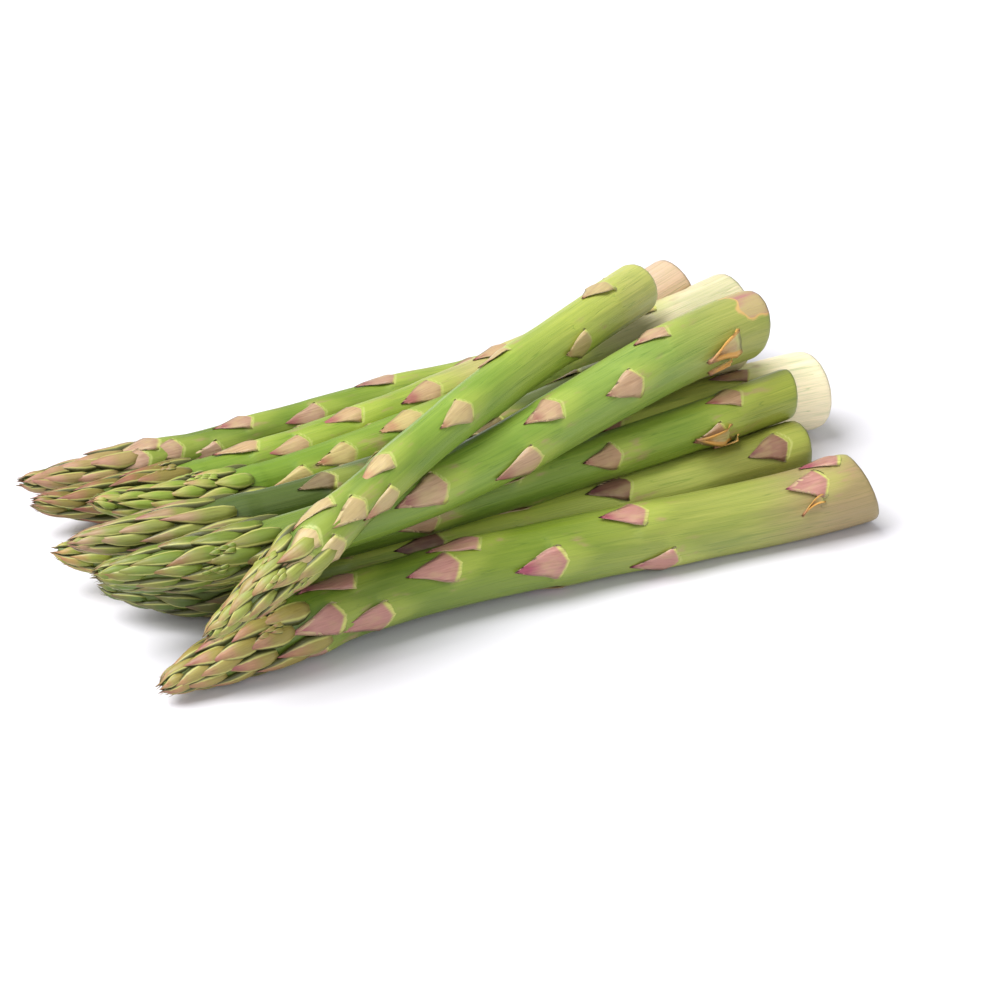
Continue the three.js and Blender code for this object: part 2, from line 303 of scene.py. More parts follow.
# A purple patch where an old scale tore off by the thick spear's cut end: how far it reaches from the
# cut end in millimetres, and its middle and half width in degrees round the stalk.
PATCHES = {"spear_thick": (9.5, 75, 40)}
PATCH_EDGE = 2
PATCH_SIDE_EDGE = 12
PATCH_SIDE_WANDER = 4

# Colours that the stalks share. The first two brighten and darken a stalk's own colour.
LIGHTER_STREAK = (1.3, 1.2, 1.3)
DARKER_STREAK = (0.62, 0.74, 0.6)
NODE_YELLOW = (0.46, 0.52, 0.09)
BLUSH_PINK = (0.40, 0.20, 0.16)
FOOT_LINE_PALE = (0.54, 0.55, 0.19)
SCAR_BROWN = (0.33, 0.22, 0.08)
PATCH_RIM = (0.58, 0.36, 0.13)
PATCH_PURPLE = (0.40, 0.17, 0.16)
PATCH_TAN = (0.42, 0.33, 0.15)
FIBRE_TAN = (0.50, 0.45, 0.16)
FLESH_PALE = (0.70, 0.68, 0.38)
# Painted shade for the core under the bracts.
HEAD_PAINTED_SHADE = (0.09, 0.13, 0.015)


def scale_places(spear):
    """Distance and turn of the scales that show, and of others like them up the far side."""
    places = [(distance, math.radians(turn)) for distance, turn in spear["scales"]]
    neck = spear["length"] - spear["bracts_reach"] - NECK_GAP
    for count, distance in enumerate(np.arange(FIRST_FAR_SCALE, neck, FAR_SCALE_STEP)):
        wobble = FAR_SCALE_WOBBLE * math.sin(12.9 * count + 4.1 * spear["seed"])
        places.append((distance + wobble, math.radians(FAR_TURNS[count % len(FAR_TURNS)])))
    return places


def scale_size(spear, distance):
    """How large a scale is there, as a share of the largest: they get smaller as the stalk thins."""
    return min(float(core_radius(spear, distance)) / FULL_SIZE_RADIUS, 1)


def beside_nodes(spear, distances, turns):
    """For each scale: how far places lie beyond its foot line, which bows towards the cut end, and how
    far round from its middle, as a share of half its width."""
    for distance, turn in scale_places(spear):
        around = (turns - turn + np.pi) % (2 * np.pi) - np.pi
        size = scale_size(spear, distance)
        sideways = around * core_radius(spear, distances) / (SCALE_WIDTH / 2 * size)
        bow = NODE_ARCH * size * (1 - np.minimum(np.abs(sideways), 1) ** FOOT_BOW)
        beyond = distances - distance + bow
        yield beyond, sideways


def swelling(spear, distances, turns):
    """The swelling below each scale, from 0 to 1: it rises slowly and drops just past the foot line."""
    height = np.zeros(len(distances))
    for beyond, sideways in beside_nodes(spear, distances, turns):
        reach = np.where(beyond < 0, SWELL_BELOW, SWELL_ABOVE)
        height = np.maximum(height, np.exp(-(beyond / reach) ** 2 - (sideways / SWELL_SPREAD) ** 2))
    return height


def foot_lines(spear, distances, turns):
    """A narrow band along each scale's foot line, from 0 to 1."""
    band = np.zeros(len(distances))
    for beyond, sideways in beside_nodes(spear, distances, turns):
        line = np.exp(-((beyond + FOOT_LINE_BACK) / FOOT_LINE_WIDTH) ** 2)
        band = np.maximum(band, line * (np.abs(sideways) < FOOT_LINE_SIDES))
    return band


def patch_cover(name, distances, turns):
    """How well a place is inside the spear's purple patch, from 0 at its uneven outline to 1."""
    if name not in PATCHES:
        return np.zeros(len(distances))
    reach, middle, half_width = PATCHES[name]
    around = np.abs((np.degrees(turns) - middle + 180) % 360 - 180)
    uneven = 0.9 * np.sin(turns * 7) + 0.5 * np.sin(distances * 1.3)
    inside_end = (reach - distances + uneven) / PATCH_EDGE
    inside_side = (half_width - around + PATCH_SIDE_WANDER * uneven) / PATCH_SIDE_EDGE
    return np.clip(np.minimum(inside_end, inside_side), 0, 1)


def skin_radius(spear, distances, turns):
    """The stalk's skin: swollen under each scale, a little oval, and faintly ribbed."""
    swell = NODE_SWELL * swelling(spear, distances, turns)
    oval = 1 + OVALNESS * np.cos(2 * turns + distances / OVAL_PITCH + spear["seed"])
    sway = RIB_SWAY * np.sin(distances / RIB_SWAY_PITCH + spear["seed"])
    ribs = RIB_HEIGHT * np.cos(RIBS * turns + sway) * (1 - head_share(spear, distances))
    return core_radius(spear, distances) * oval + swell + ribs


def set_attribute(mesh, name, values):
    """Stores one number or one vector for each vertex, for the material to read."""
    if values.ndim == 2:
        layer = mesh.attributes.new(name, "FLOAT_VECTOR", "POINT")
        layer.data.foreach_set("vector", values.astype(np.float32).ravel())
    else:
        layer = mesh.attributes.new(name, "FLOAT", "POINT")
        layer.data.foreach_set("value", values.astype(np.float32))


def corner_places(mesh):
    """The mesh's vertices as an array."""
    places = np.empty(len(mesh.vertices) * 3, np.float32)
    mesh.vertices.foreach_get("co", places)
    return places.reshape(-1, 3).astype(float)


def move_corners(mesh, points):
    """Puts the mesh's vertices at these points, given in millimetres."""
    mesh.vertices.foreach_set("co", (points * MM).astype(np.float32).ravel())
    mesh.update()


def make_stalk_form():
    """A plain straight stalk of radius 1 and height 1, ringed all the way up, its cut face at 0."""
    bpy.ops.object.select_all(action="DESELECT")
    bpy.ops.mesh.primitive_cylinder_add(vertices=STALK_SIDES, radius=1, depth=1, location=(0, 0, 0.5))
    form = bpy.context.object
    bpy.ops.object.transform_apply(location=True, rotation=False, scale=False)
    bpy.ops.object.mode_set(mode="EDIT")
    bpy.ops.mesh.select_mode(type="FACE")
    bpy.ops.mesh.select_all(action="DESELECT")
    shape = bmesh.from_edit_mesh(form.data)
    for face in shape.faces:
        face.select = face.normal.z < -0.5
    bmesh.update_edit_mesh(form.data)
    for inset in CUT_INSETS:
        bpy.ops.mesh.inset(thickness=inset)
    bpy.ops.mesh.poke()
    bpy.ops.mesh.select_mode(type="EDGE")
    bpy.ops.mesh.select_all(action="DESELECT")
    shape = bmesh.from_edit_mesh(form.data)
    for edge in shape.edges:
        edge.select = abs(edge.verts[0].co.z - edge.verts[1].co.z) > 0.5
    bmesh.update_edit_mesh(form.data)
    bpy.ops.mesh.subdivide(number_cuts=FIRST_RINGS - 1)
    shape = bmesh.from_edit_mesh(form.data)
    for edge in shape.edges:
        edge.select = abs(edge.verts[0].co.z - edge.verts[1].co.z) > 0.5 / FIRST_RINGS
    bmesh.update_edit_mesh(form.data)
    bpy.ops.mesh.subdivide(number_cuts=STALK_RINGS // FIRST_RINGS - 1)
    bpy.ops.object.mode_set(mode="OBJECT")
    return form


def add_node(tree, kind, inputs=(), **settings):
    """A shader node with its settings, and its inputs given as values or as links from sockets."""
    node = tree.nodes.new(kind)
    for key, value in settings.items():
        setattr(node, key, value)
    for key, value in inputs:
        if isinstance(value, bpy.types.NodeSocket):
            tree.links.new(value, node.inputs[key])
        else:
            node.inputs[key].default_value = value
    return node


def add_attribute(tree, name, kind):
    """One of the piece's own attributes: Fac for a number, Vector for three."""
    return add_node(tree, "ShaderNodeAttribute", attribute_name=name).outputs[kind]


def add_mix(tree, factor, first, second, blend="MIX"):
    """A colour mix. A plain colour is given as three numbers."""
    mix = tree.nodes.new("ShaderNodeMix")
    mix.data_type = "RGBA"
    mix.blend_type = blend
    for index, value in ((0, factor), (6, first), (7, second)):
        if isinstance(value, bpy.types.NodeSocket):
            tree.links.new(value, mix.inputs[index])
        elif index == 0:
            mix.inputs[0].default_value = value
        else:
            mix.inputs[index].default_value = (*value, 1)
    return mix.outputs[2]


def add_ramp(tree, factor, stops):
    """A colour ramp through (position, colour) stops."""
    ramp = tree.nodes.new("ShaderNodeValToRGB")
    ramp.color_ramp.interpolation = "EASE"
    while len(ramp.color_ramp.elements) < len(stops):
        ramp.color_ramp.elements.new(0.5)
    for element, (position, colour) in zip(ramp.color_ramp.elements, stops):
        element.position = position
        element.color = (*colour, 1)
    tree.links.new(factor, ramp.inputs[0])
    return ramp.outputs[0]


def add_range(tree, value, low, high, to_low=0, to_high=1):
    """Spreads a value between low and high over a new range, softly and without going past it."""
    ranged = add_node(tree, "ShaderNodeMapRange", [
        (0, value), (1, low), (2, high), (3, to_low), (4, to_high)])
    ranged.interpolation_type = "SMOOTHSTEP"
    return ranged.outputs[0]


def add_grain(tree, coordinates, stretch, scale, detail=3, roughness=0.55):
    """Noise along the stalk: stretch is how much longer its grain is along the stalk than across."""
    mapping = add_node(tree, "ShaderNodeMapping", [(0, coordinates), (3, (1, 1, 1 / stretch))])
    noise = add_node(tree, "ShaderNodeTexNoise", [
        (0, mapping.outputs[0]), ("Scale", scale), ("Detail", detail), ("Roughness", roughness)])
    return noise.outputs[0]


def add_product(tree, first, second):
    """One value times another, such as a pattern and the place that it is kept to."""
    return add_node(tree, "ShaderNodeMath", [(0, first), (1, second)], operation="MULTIPLY").outputs[0]


def new_material(name):
    """An empty material, with its node tree and its principled shader."""
    material = bpy.data.materials.new(name)
    material.use_nodes = True
    tree = material.node_tree
    return material, tree, tree.nodes["Principled BSDF"]


def make_stalk_material(name):
    """Waxy skin: streaks along the stalk, yellow under each scale with a purple blush, small scars."""
    cut_end, low, middle, neck, cut_stop, low_stop = STALK_COLOURS[name]
    material, tree, shader = new_material(name + "_skin")
    grain = add_attribute(tree, "straight", "Vector")
    along = add_attribute(tree, "along", "Fac")
    node_near = add_attribute(tree, "node_near", "Fac")
    cut_face = add_attribute(tree, "cut_face", "Fac")

    mottle = add_grain(tree, grain, 6, 0.16)
    streaks = add_grain(tree, grain, 45, 0.9, 4, 0.6)
    shifted = add_node(tree, "ShaderNodeMath", [(0, mottle), (1, 0.10), (2, -0.05)], operation="MULTIPLY_ADD")
    spot = add_node(tree, "ShaderNodeMath", [(0, along), (1, shifted.outputs[0])], operation="ADD")
    skin = add_ramp(tree, spot.outputs[0], [
        (cut_stop, cut_end), (low_stop, low), (0.5, middle), (0.8, neck)])
    lighter = add_mix(tree, 1.0, skin, LIGHTER_STREAK, "MULTIPLY")
    darker = add_mix(tree, 1.0, skin, DARKER_STREAK, "MULTIPLY")
    skin = add_mix(tree, add_range(tree, streaks, 0.5, 0.72, 0, 0.5), skin, lighter)
    skin = add_mix(tree, add_range(tree, mottle, 0.48, 0.3, 0, 0.5), skin, darker)
    crease = add_node(tree, "ShaderNodeMath", [
        (0, add_grain(tree, grain, 60, 0.42, 2)), (1, 0.53)], operation="SUBTRACT").outputs[0]
    crease = add_node(tree, "ShaderNodeMath", [(0, crease)], operation="ABSOLUTE").outputs[0]
    crease = add_range(tree, crease, 0.012, 0.0, 0, 0.8)
    skin = add_mix(tree, crease, skin, darker)
    fine = add_grain(tree, grain, 60, 2.6, 3, 0.6)
    skin = add_mix(tree, add_range(tree, fine, 0.52, 0.36, 0, 0.4), skin, darker)
    skin = add_mix(tree, add_range(tree, node_near, 0.25, 1.0, 0, 0.35), skin, NODE_YELLOW)
    blotch = add_grain(tree, grain, 3, 0.35, 2)
    blush_room = add_range(tree, node_near, 0.1, 0.6, 0, 0.5)
    blush = add_product(tree, add_range(tree, blotch, 0.55, 0.75), blush_room)
    skin = add_mix(tree, blush, skin, BLUSH_PINK)
    foot_line = add_attribute(tree, "foot_line", "Fac")
    skin = add_mix(tree, add_range(tree, foot_line, 0.6, 0.95, 0, 0.42), skin, FOOT_LINE_PALE)
    scar = add_range(tree, add_grain(tree, grain, 2.2, 0.55, 5, 0.7), 0.735, 0.77, 0, 0.7)
    skin = add_mix(tree, scar, skin, SCAR_BROWN)

    patch = add_attribute(tree, "patch", "Fac")
    skin = add_mix(tree, add_range(tree, patch, 0.0, 0.3, 0, 0.9), skin, PATCH_RIM)
    torn = add_mix(tree, add_range(tree, mottle, 0.4, 0.6), PATCH_PURPLE, PATCH_TAN)
    skin = add_mix(tree, add_range(tree, patch, 0.35, 0.6), skin, torn)

    fibres = add_node(tree, "ShaderNodeTexVoronoi", [(0, grain), ("Scale", 0.9)])
    flesh = add_mix(tree, add_range(tree, fibres.outputs[0], 0.18, 0.34), FIBRE_TAN, FLESH_PALE)
    skin = add_mix(tree, cut_face, skin, flesh)
    # Painted shade: the core inside the head is darkened, standing in for the shade under and between the
    # bracts.
    in_head = add_attribute(tree, "in_head", "Fac")
    skin = add_mix(tree, add_range(tree, in_head, 0.12, 0.4), skin, HEAD_PAINTED_SHADE)
    tree.links.new(skin, shader.inputs["Base Color"])

    tree.links.new(add_range(tree, streaks, 0.3, 0.7, 0.33, 0.50), shader.inputs["Roughness"])
    shader.inputs["Subsurface Weight"].default_value = 0.08
    shader.inputs["Subsurface Radius"].default_value = (0.8, 1.0, 0.3)
    shader.inputs["Subsurface Scale"].default_value = 0.0015
    shader.inputs["Specular IOR Level"].default_value = 0.45
    shader.inputs["Coat Weight"].default_value = 0.06
    shader.inputs["Coat Roughness"].default_value = 0.22

    heights = add_node(tree, "ShaderNodeMath", [(0, streaks), (1, fine)], operation="ADD").outputs[0]
    heights = add_node(tree, "ShaderNodeMath", [(0, heights), (1, crease)], operation="SUBTRACT").outputs[0]
    bump = add_node(tree, "ShaderNodeBump", [("Height", heights), ("Strength", 0.3), ("Distance", 0.0003)])
    tree.links.new(bump.outputs[0], shader.inputs["Normal"])
    return material


stalk_form = make_stalk_form()
for name, spear in SPEARS.items():
    stalk = stalk_form.copy()
    stalk.data = stalk_form.data.copy()
    stalk.name = name + "_stalk"
    bpy.context.collection.objects.link(stalk)

    form = corner_places(stalk.data)
    turns = np.arctan2(form[:, 1], form[:, 0])
    inward = np.hypot(form[:, 0], form[:, 1])
    distances = form[:, 2] * (spear["length"] - TIP_GAP)
    at_cut = form[:, 2] < CUT_PLANE
    on_skin = inward > CUT_RIM
    rounded = 1 - CUT_ROUNDING * np.exp(-(distances / CUT_ROUNDING_REACH) ** 2) * on_skin
    reaches = skin_radius(spear, distances, turns) * inward * rounded
    lean = spear["slant"] * reaches * np.cos(turns - math.radians(spear["slant_turn"]))
    hollow = CUT_HOLLOW * (1 - inward ** 2) * at_cut
    leaned = distances - lean * np.clip(1 - distances / LEAN_REACH, 0, 1) + hollow
    move_corners(stalk.data, place(spear, leaned, turns, reaches))
    grain_place = distances + GRAIN_SHIFT * spear["seed"]
    straight = np.stack([reaches * np.cos(turns), reaches * np.sin(turns), grain_place], 1)
    set_attribute(stalk.data, "straight", straight)
    set_attribute(stalk.data, "along", distances / spear["length"])
    set_attribute(stalk.data, "node_near", swelling(spear, distances, turns))
    set_attribute(stalk.data, "foot_line", foot_lines(spear, distances, turns))
    set_attribute(stalk.data, "in_head", bracts_share(spear, distances))
    set_attribute(stalk.data, "patch", patch_cover(name, distances, turns))
    set_attribute(stalk.data, "cut_face", (at_cut & ~on_skin).astype(float))
    stalk.data.materials.clear()
    stalk.data.materials.append(make_stalk_material(name))
    stalk.data.shade_smooth()
    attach(stalk, "root")
    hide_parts(name)
bpy.data.objects.remove(stalk_form)


# Scales along the stalks
# Each is a thin triangular leaf that never opened. Its foot grows from a swollen ring of the stalk,
# it lies flat on the stalk with thin pale margins, and its point looks towards the tip.
SCALE_ROWS = 8
SCALE_COLUMNS = 6
SCALE_CROWN = 0.3
SCALE_THICKNESS = 0.28
POINT_WIDTH = 0.02
SCALE_LENGTH = 11.5
LOWEST_LENGTH_SHARE = 0.92
LENGTH_GROWTH = 0.4
SCALE_SPREAD = (0.92, 1.1)
FOOT_OVERLAP = 0.5
MARGIN_WAVES = 0.06
SLIMMEST_WRAP = 2.2
LEAF_GRAIN_SHIFT = 40

# Colours that the scales share. The first two brighten and darken a leaf's own colour.
LIGHTER_VEIN = (1.3, 1.35, 1.4)
DARKER_VEIN = (0.62, 0.55, 0.5)
SCALE_FOOT = (0.50, 0.52, 0.13)
SCALE_PALE = (0.52, 0.48, 0.19)
SCALE_MARGIN = (0.56, 0.46, 0.22)

# Colours of the body and the point.
SCALE_COLOURS = {
    "spear_front": ((0.40, 0.19, 0.155), (0.28, 0.05, 0.09)),
    "spear_crossing": ((0.44, 0.33, 0.155), (0.38, 0.18, 0.10)),
    "spear_thick": ((0.42, 0.27, 0.16), (0.27, 0.09, 0.08)),
    "spear_under": ((0.36, 0.22, 0.12), (0.27, 0.09, 0.07)),
    "spear_middle": ((0.22, 0.11, 0.07), (0.15, 0.05, 0.05)),
    "spear_white_end": ((0.28, 0.14, 0.08), (0.16, 0.05, 0.05)),
    # Painted shade: the hidden spear's scales are darkened, as it lies in deep shade between the others.
    "spear_hidden": ((0.17, 0.12, 0.055), (0.14, 0.06, 0.04)),
    "spear_green_head": ((0.46, 0.36, 0.14), (0.38, 0.16, 0.09)),
    "spear_purple_tip": ((0.44, 0.29, 0.15), (0.32, 0.10, 0.09)),
    "spear_back": ((0.38, 0.23, 0.15), (0.28, 0.09, 0.09)),
}

# Scales that dried out and curled up or tore: distance, turn, length, half width, how far they bend
# sideways, and how high they stand off at the foot and at the point.
DRY_SCALES = {
    "spear_front": [(17, 34, 7.5, 1.2, -3.2, 0.6, 1.2)],
    "spear_thick": [(14, 12, 13, 3.9, -2, 0.6, 0.4), (17, -14, 9, 0.9, -1.5, 0.9, 0.6)],
    "spear_under": [(28, -6, 12, 2.9, 1.8, 1.2, 0.5), (25, -24, 8, 1.2, -1, 2, 1)],
}
DRY_COLOURS = [
    (0.02, (0.50, 0.50, 0.16)),
    (0.2, (0.52, 0.40, 0.17)),
    (0.6, (0.46, 0.28, 0.10)),
    (0.9, (0.28, 0.12, 0.05)),
]
DRY_TINT = (0.36, 0.22, 0.14)
DRY_MARGIN = (0.62, 0.32, 0.07)


def resize_row(shape, mesh, along, gap, across, high):
    """Narrows one row of corners, which lie this far along, towards the middle line."""
    for corner in shape.verts:
        corner.select = abs(corner.co.y - along) < gap
    shape.select_flush_mode()
    bmesh.update_edit_mesh(mesh)
    bpy.ops.transform.resize(value=(across, 1, high), center_override=(0, along, 0))


def make_scale_form():
    """A triangular leaf, 2 wide and 1 long, its foot at 0 and its point at 1, a little crowned."""
    bpy.ops.object.select_all(action="DESELECT")
    bpy.ops.mesh.primitive_grid_add(
        x_subdivisions=SCALE_COLUMNS, y_subdivisions=SCALE_ROWS, size=1, location=(0, 0.5, 0))
    form = bpy.context.object
    bpy.ops.object.transform_apply(location=True, rotation=False, scale=False)
    set_attribute(form.data, "flat", corner_places(form.data) * (2, 1, 0))
    bpy.ops.object.mode_set(mode="EDIT")
    bpy.ops.mesh.select_mode(type="VERT")
    shape = bmesh.from_edit_mesh(form.data)
    for column in range(SCALE_COLUMNS + 1):
        across = column / SCALE_COLUMNS - 0.5
        for corner in shape.verts:
            corner.select = abs(corner.co.x - across) < 0.25 / SCALE_COLUMNS
        shape.select_flush_mode()
        bmesh.update_edit_mesh(form.data)
        bpy.ops.transform.translate(value=(0, 0, SCALE_CROWN * (1 - (2 * across) ** 2)))
    for row in range(SCALE_ROWS + 1):
        along = row / SCALE_ROWS
        width = max((1 - along) * (1 + 0.1 * along), POINT_WIDTH)
        resize_row(shape, form.data, along, 0.25 / SCALE_ROWS, 2 * width, width)
    bpy.ops.object.mode_set(mode="OBJECT")
    solidify = form.modifiers.new("thickness", "SOLIDIFY")
    solidify.thickness = SCALE_THICKNESS
    solidify.offset = -1
    bpy.ops.object.modifier_apply(modifier=solidify.name)
    return form


def grow_leaves(name, form, spear, leaves):
    """Copies the leaf form to every place, wrapped round the spear, and joins them as one piece.
    A leaf says its distance, turn, length and half width, how far its foot line bows back, how high it
    lies above the core at its foot, near the foot, half way and at the point, how high its corners
    curl, how much its own shape rises, how far it bends sideways, and its chance number."""
    shape = corner_places(form.data)
    flat = np.empty(len(shape) * 3, np.float32)
    form.data.attributes["flat"].data.foreach_get("vector", flat)
    flat = flat.reshape(-1, 3).astype(float)
    loops = np.array([corner for face in form.data.polygons for corner in face.vertices])
    sizes = np.array([len(face.vertices) for face in form.data.polygons])
    along = shape[:, 1]
    points, straights, leaf_places = [], [], []
    for count, leaf in enumerate(leaves):
        bow = leaf["arch"] * (1 - np.abs(flat[:, 0]) ** FOOT_BOW) * (1 - along)
        distances = leaf["distance"] - bow + along * leaf["length"]
        waves = 1 + MARGIN_WAVES * np.sin(9 * along + 40 * leaf["chance"] + 1.5 * np.sign(shape[:, 0]))
        sideways = shape[:, 0] * leaf["half_width"] * waves + leaf["twist"] * along ** 2
        turns = leaf["turn"] + sideways / np.maximum(core_radius(spear, distances) + 0.5, SLIMMEST_WRAP)
        lift = np.interp(along, (0, 0.08, 0.5, 1), leaf["lifts"]) + leaf["curl"] * np.abs(flat[:, 0]) ** 3
        reaches = core_radius(spear, distances) + lift + shape[:, 2] * leaf["puff"]
        points.append(place(spear, distances, turns, reaches))
        grain_place = distances + GRAIN_SHIFT * spear["seed"] + LEAF_GRAIN_SHIFT * count
        straights.append(np.stack([sideways, shape[:, 2], grain_place], 1))
        leaf_places.append(np.stack([flat[:, 0], along, np.full(len(along), leaf["chance"])], 1))
    mesh = bpy.data.meshes.new(name)
    copies = len(leaves)
    offsets = np.repeat(np.arange(copies) * len(shape), len(loops))
    mesh.vertices.add(copies * len(shape))
    mesh.loops.add(copies * len(loops))
    mesh.polygons.add(copies * len(sizes))
    starts = np.concatenate([[0], np.cumsum(np.tile(sizes, copies))[:-1]])
    mesh.loops.foreach_set("vertex_index", (np.tile(loops, copies) + offsets).astype(np.int32))
    mesh.polygons.foreach_set("loop_start", starts.astype(np.int32))
    move_corners(mesh, np.concatenate(points))
    mesh.update(calc_edges=True)
    set_attribute(mesh, "straight", np.concatenate(straights))
    set_attribute(mesh, "leaf", np.concatenate(leaf_places))
    mesh.shade_smooth()
    piece = bpy.data.objects.new(name, mesh)
    bpy.context.collection.objects.link(piece)
    return piece


def make_leaf_material(name, stops, tint, margin, margin_colour, margin_start, root, change):
    """A leaf's skin: colours from the foot to the point, clouded by a tint, veins along it, pale
    margins, and each leaf a little different from the next. Past its margin, where a leaf's sides sink
    under its neighbours, it is mixed towards the colour given as root: painted shade in the gaps
    between the leaves."""
    material, tree, shader = new_material(name)
    leaf = add_attribute(tree, "leaf", "Vector")
    grain = add_attribute(tree, "straight", "Vector")
    parts = add_node(tree, "ShaderNodeSeparateXYZ", [(0, leaf)])
    across, along, chance = parts.outputs[0], parts.outputs[1], parts.outputs[2]
    veins = add_grain(tree, grain, 14, 2.2, 3, 0.6)
    cloud = add_grain(tree, grain, 2.5, 0.3, 2)
    shifted = add_node(tree, "ShaderNodeMath", [(0, cloud), (1, chance)], operation="ADD").outputs[0]
    shifted = add_node(tree, "ShaderNodeMath", [
        (0, shifted), (1, change), (2, -change)], operation="MULTIPLY_ADD")
    shifted = add_product(tree, shifted.outputs[0], add_range(tree, along, 0.05, 0.4))
    spot = add_node(tree, "ShaderNodeMath", [(0, along), (1, shifted)], operation="ADD")
    skin = add_ramp(tree, spot.outputs[0], stops)
    lighter = add_mix(tree, 1.0, skin, LIGHTER_VEIN, "MULTIPLY")
    darker = add_mix(tree, 1.0, skin, DARKER_VEIN, "MULTIPLY")
    skin = add_mix(tree, add_range(tree, veins, 0.5, 0.72, 0, 0.5), skin, lighter)
    skin = add_mix(tree, add_range(tree, veins, 0.48, 0.3, 0, 0.5), skin, darker)
    skin = add_mix(tree, add_range(tree, cloud, 0.45, 0.7, 0, 0.45), skin, tint)
    edge = add_node(tree, "ShaderNodeMath", [(0, across)], operation="ABSOLUTE").outputs[0]
    rim = add_range(tree, edge, margin_start, margin_start + 0.12, 0, margin)
    skin = add_mix(tree, add_product(tree, rim, add_range(tree, along, 0.95, 0.6)), skin, margin_colour)
    # Painted shade: the sides past the margin, where leaves sink between their neighbours, darken towards the
    # root colour.
    if root:
        shaded_sides = add_range(tree, edge, margin_start + 0.12, margin_start + 0.3, 0, 0.9)
        skin = add_mix(tree, shaded_sides, skin, root)
    tree.links.new(skin, shader.inputs["Base Color"])
    tree.links.new(add_range(tree, veins, 0.3, 0.7, 0.40, 0.55), shader.inputs["Roughness"])
    shader.inputs["Subsurface Weight"].default_value = 0.08
    shader.inputs["Subsurface Radius"].default_value = (0.8, 0.8, 0.3)
    shader.inputs["Subsurface Scale"].default_value = 0.001
    bump = add_node(tree, "ShaderNodeBump", [("Height", veins), ("Strength", 0.35), ("Distance", 0.0003)])
    tree.links.new(bump.outputs[0], shader.inputs["Normal"])
    return material


scale_form = make_scale_form()
for name, spear in SPEARS.items():
    scales = []
    draw = np.random.default_rng(100 + spear["seed"])
    for distance, turn in scale_places(spear):
        growth = distance / spear["length"]
        size = scale_size(spear, distance) * draw.uniform(*SCALE_SPREAD)
        scales.append(dict(
            distance=distance - FOOT_OVERLAP, turn=turn,
            length=SCALE_LENGTH * (LOWEST_LENGTH_SHARE + LENGTH_GROWTH * growth) * size,
            half_width=SCALE_WIDTH / 2 * size, arch=NODE_ARCH * size,
            lifts=(NODE_SWELL - 0.35, NODE_SWELL + 0.15, 0.5, 0.2 + 0.6 * draw.random() ** 2),
            curl=draw.uniform(0, 0.3), puff=0.8, twist=draw.uniform(-0.9, 0.9), chance=draw.random()))
    piece = grow_leaves(name + "_scales", scale_form, spear, scales)
    body, point = SCALE_COLOURS[name]
    paler = [(part + pale) / 2 for part, pale in zip(body, SCALE_PALE)]
    piece.data.materials.append(make_leaf_material(
        name + "_scale_skin", [(0.02, SCALE_FOOT), (0.10, body), (0.55, body), (0.88, point)],
        tint=paler, margin=0.6, margin_colour=SCALE_MARGIN, margin_start=0.9, root=None, change=0.3))
    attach(piece, "root")
    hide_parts(name)
    if name in DRY_SCALES:
        dry = []
        for distance, turn, length, half_width, twist, foot_lift, point_lift in DRY_SCALES[name]:
            dry.append(dict(
                distance=distance, turn=math.radians(turn), length=length, half_width=half_width, arch=1,
                lifts=(0, foot_lift, foot_lift, point_lift), curl=1.4, puff=0.6, twist=twist,
                chance=draw.random()))
        piece = grow_leaves(name + "_dry_scales", scale_form, spear, dry)
        piece.data.materials.append(make_leaf_material(
            name + "_dry_skin", DRY_COLOURS,
            tint=DRY_TINT, margin=0.9, margin_colour=DRY_MARGIN, margin_start=0.72, root=None, change=0.25))
        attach(piece, "root")
        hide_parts(name)
bpy.data.objects.remove(scale_form)


# Heads
# The growing tip is wrapped in slim plump bracts that overlap in a spiral. Small beaded side buds
# show between the lower ones. Bracts are green at the foot and pink to purple at the point.
BRACT_SIDES = 8
BRACT_RINGS = 7
GOLDEN_TURN = math.radians(137.5)
LAST_BRACT_FROM_TIP = 4
LOOSE_BRACTS = 0.2
BRACT_SPREAD = (0.88, 1.1)
BRACT_SHORTENING = 0.35
BRACT_NARROWING = 0.5
UNDERSIDE_HEIGHT = 0.25
BEADS = 8
BEAD_STEP = 0.75
TIP_HAIRS = 7
BRACT_MARGIN = (0.46, 0.46, 0.13)
# Painted shade: a near-black colour laid on the bracts' sides, where they sink between their neighbours.
BRACT_GAP_SHADE = (0.035, 0.04, 0.009)

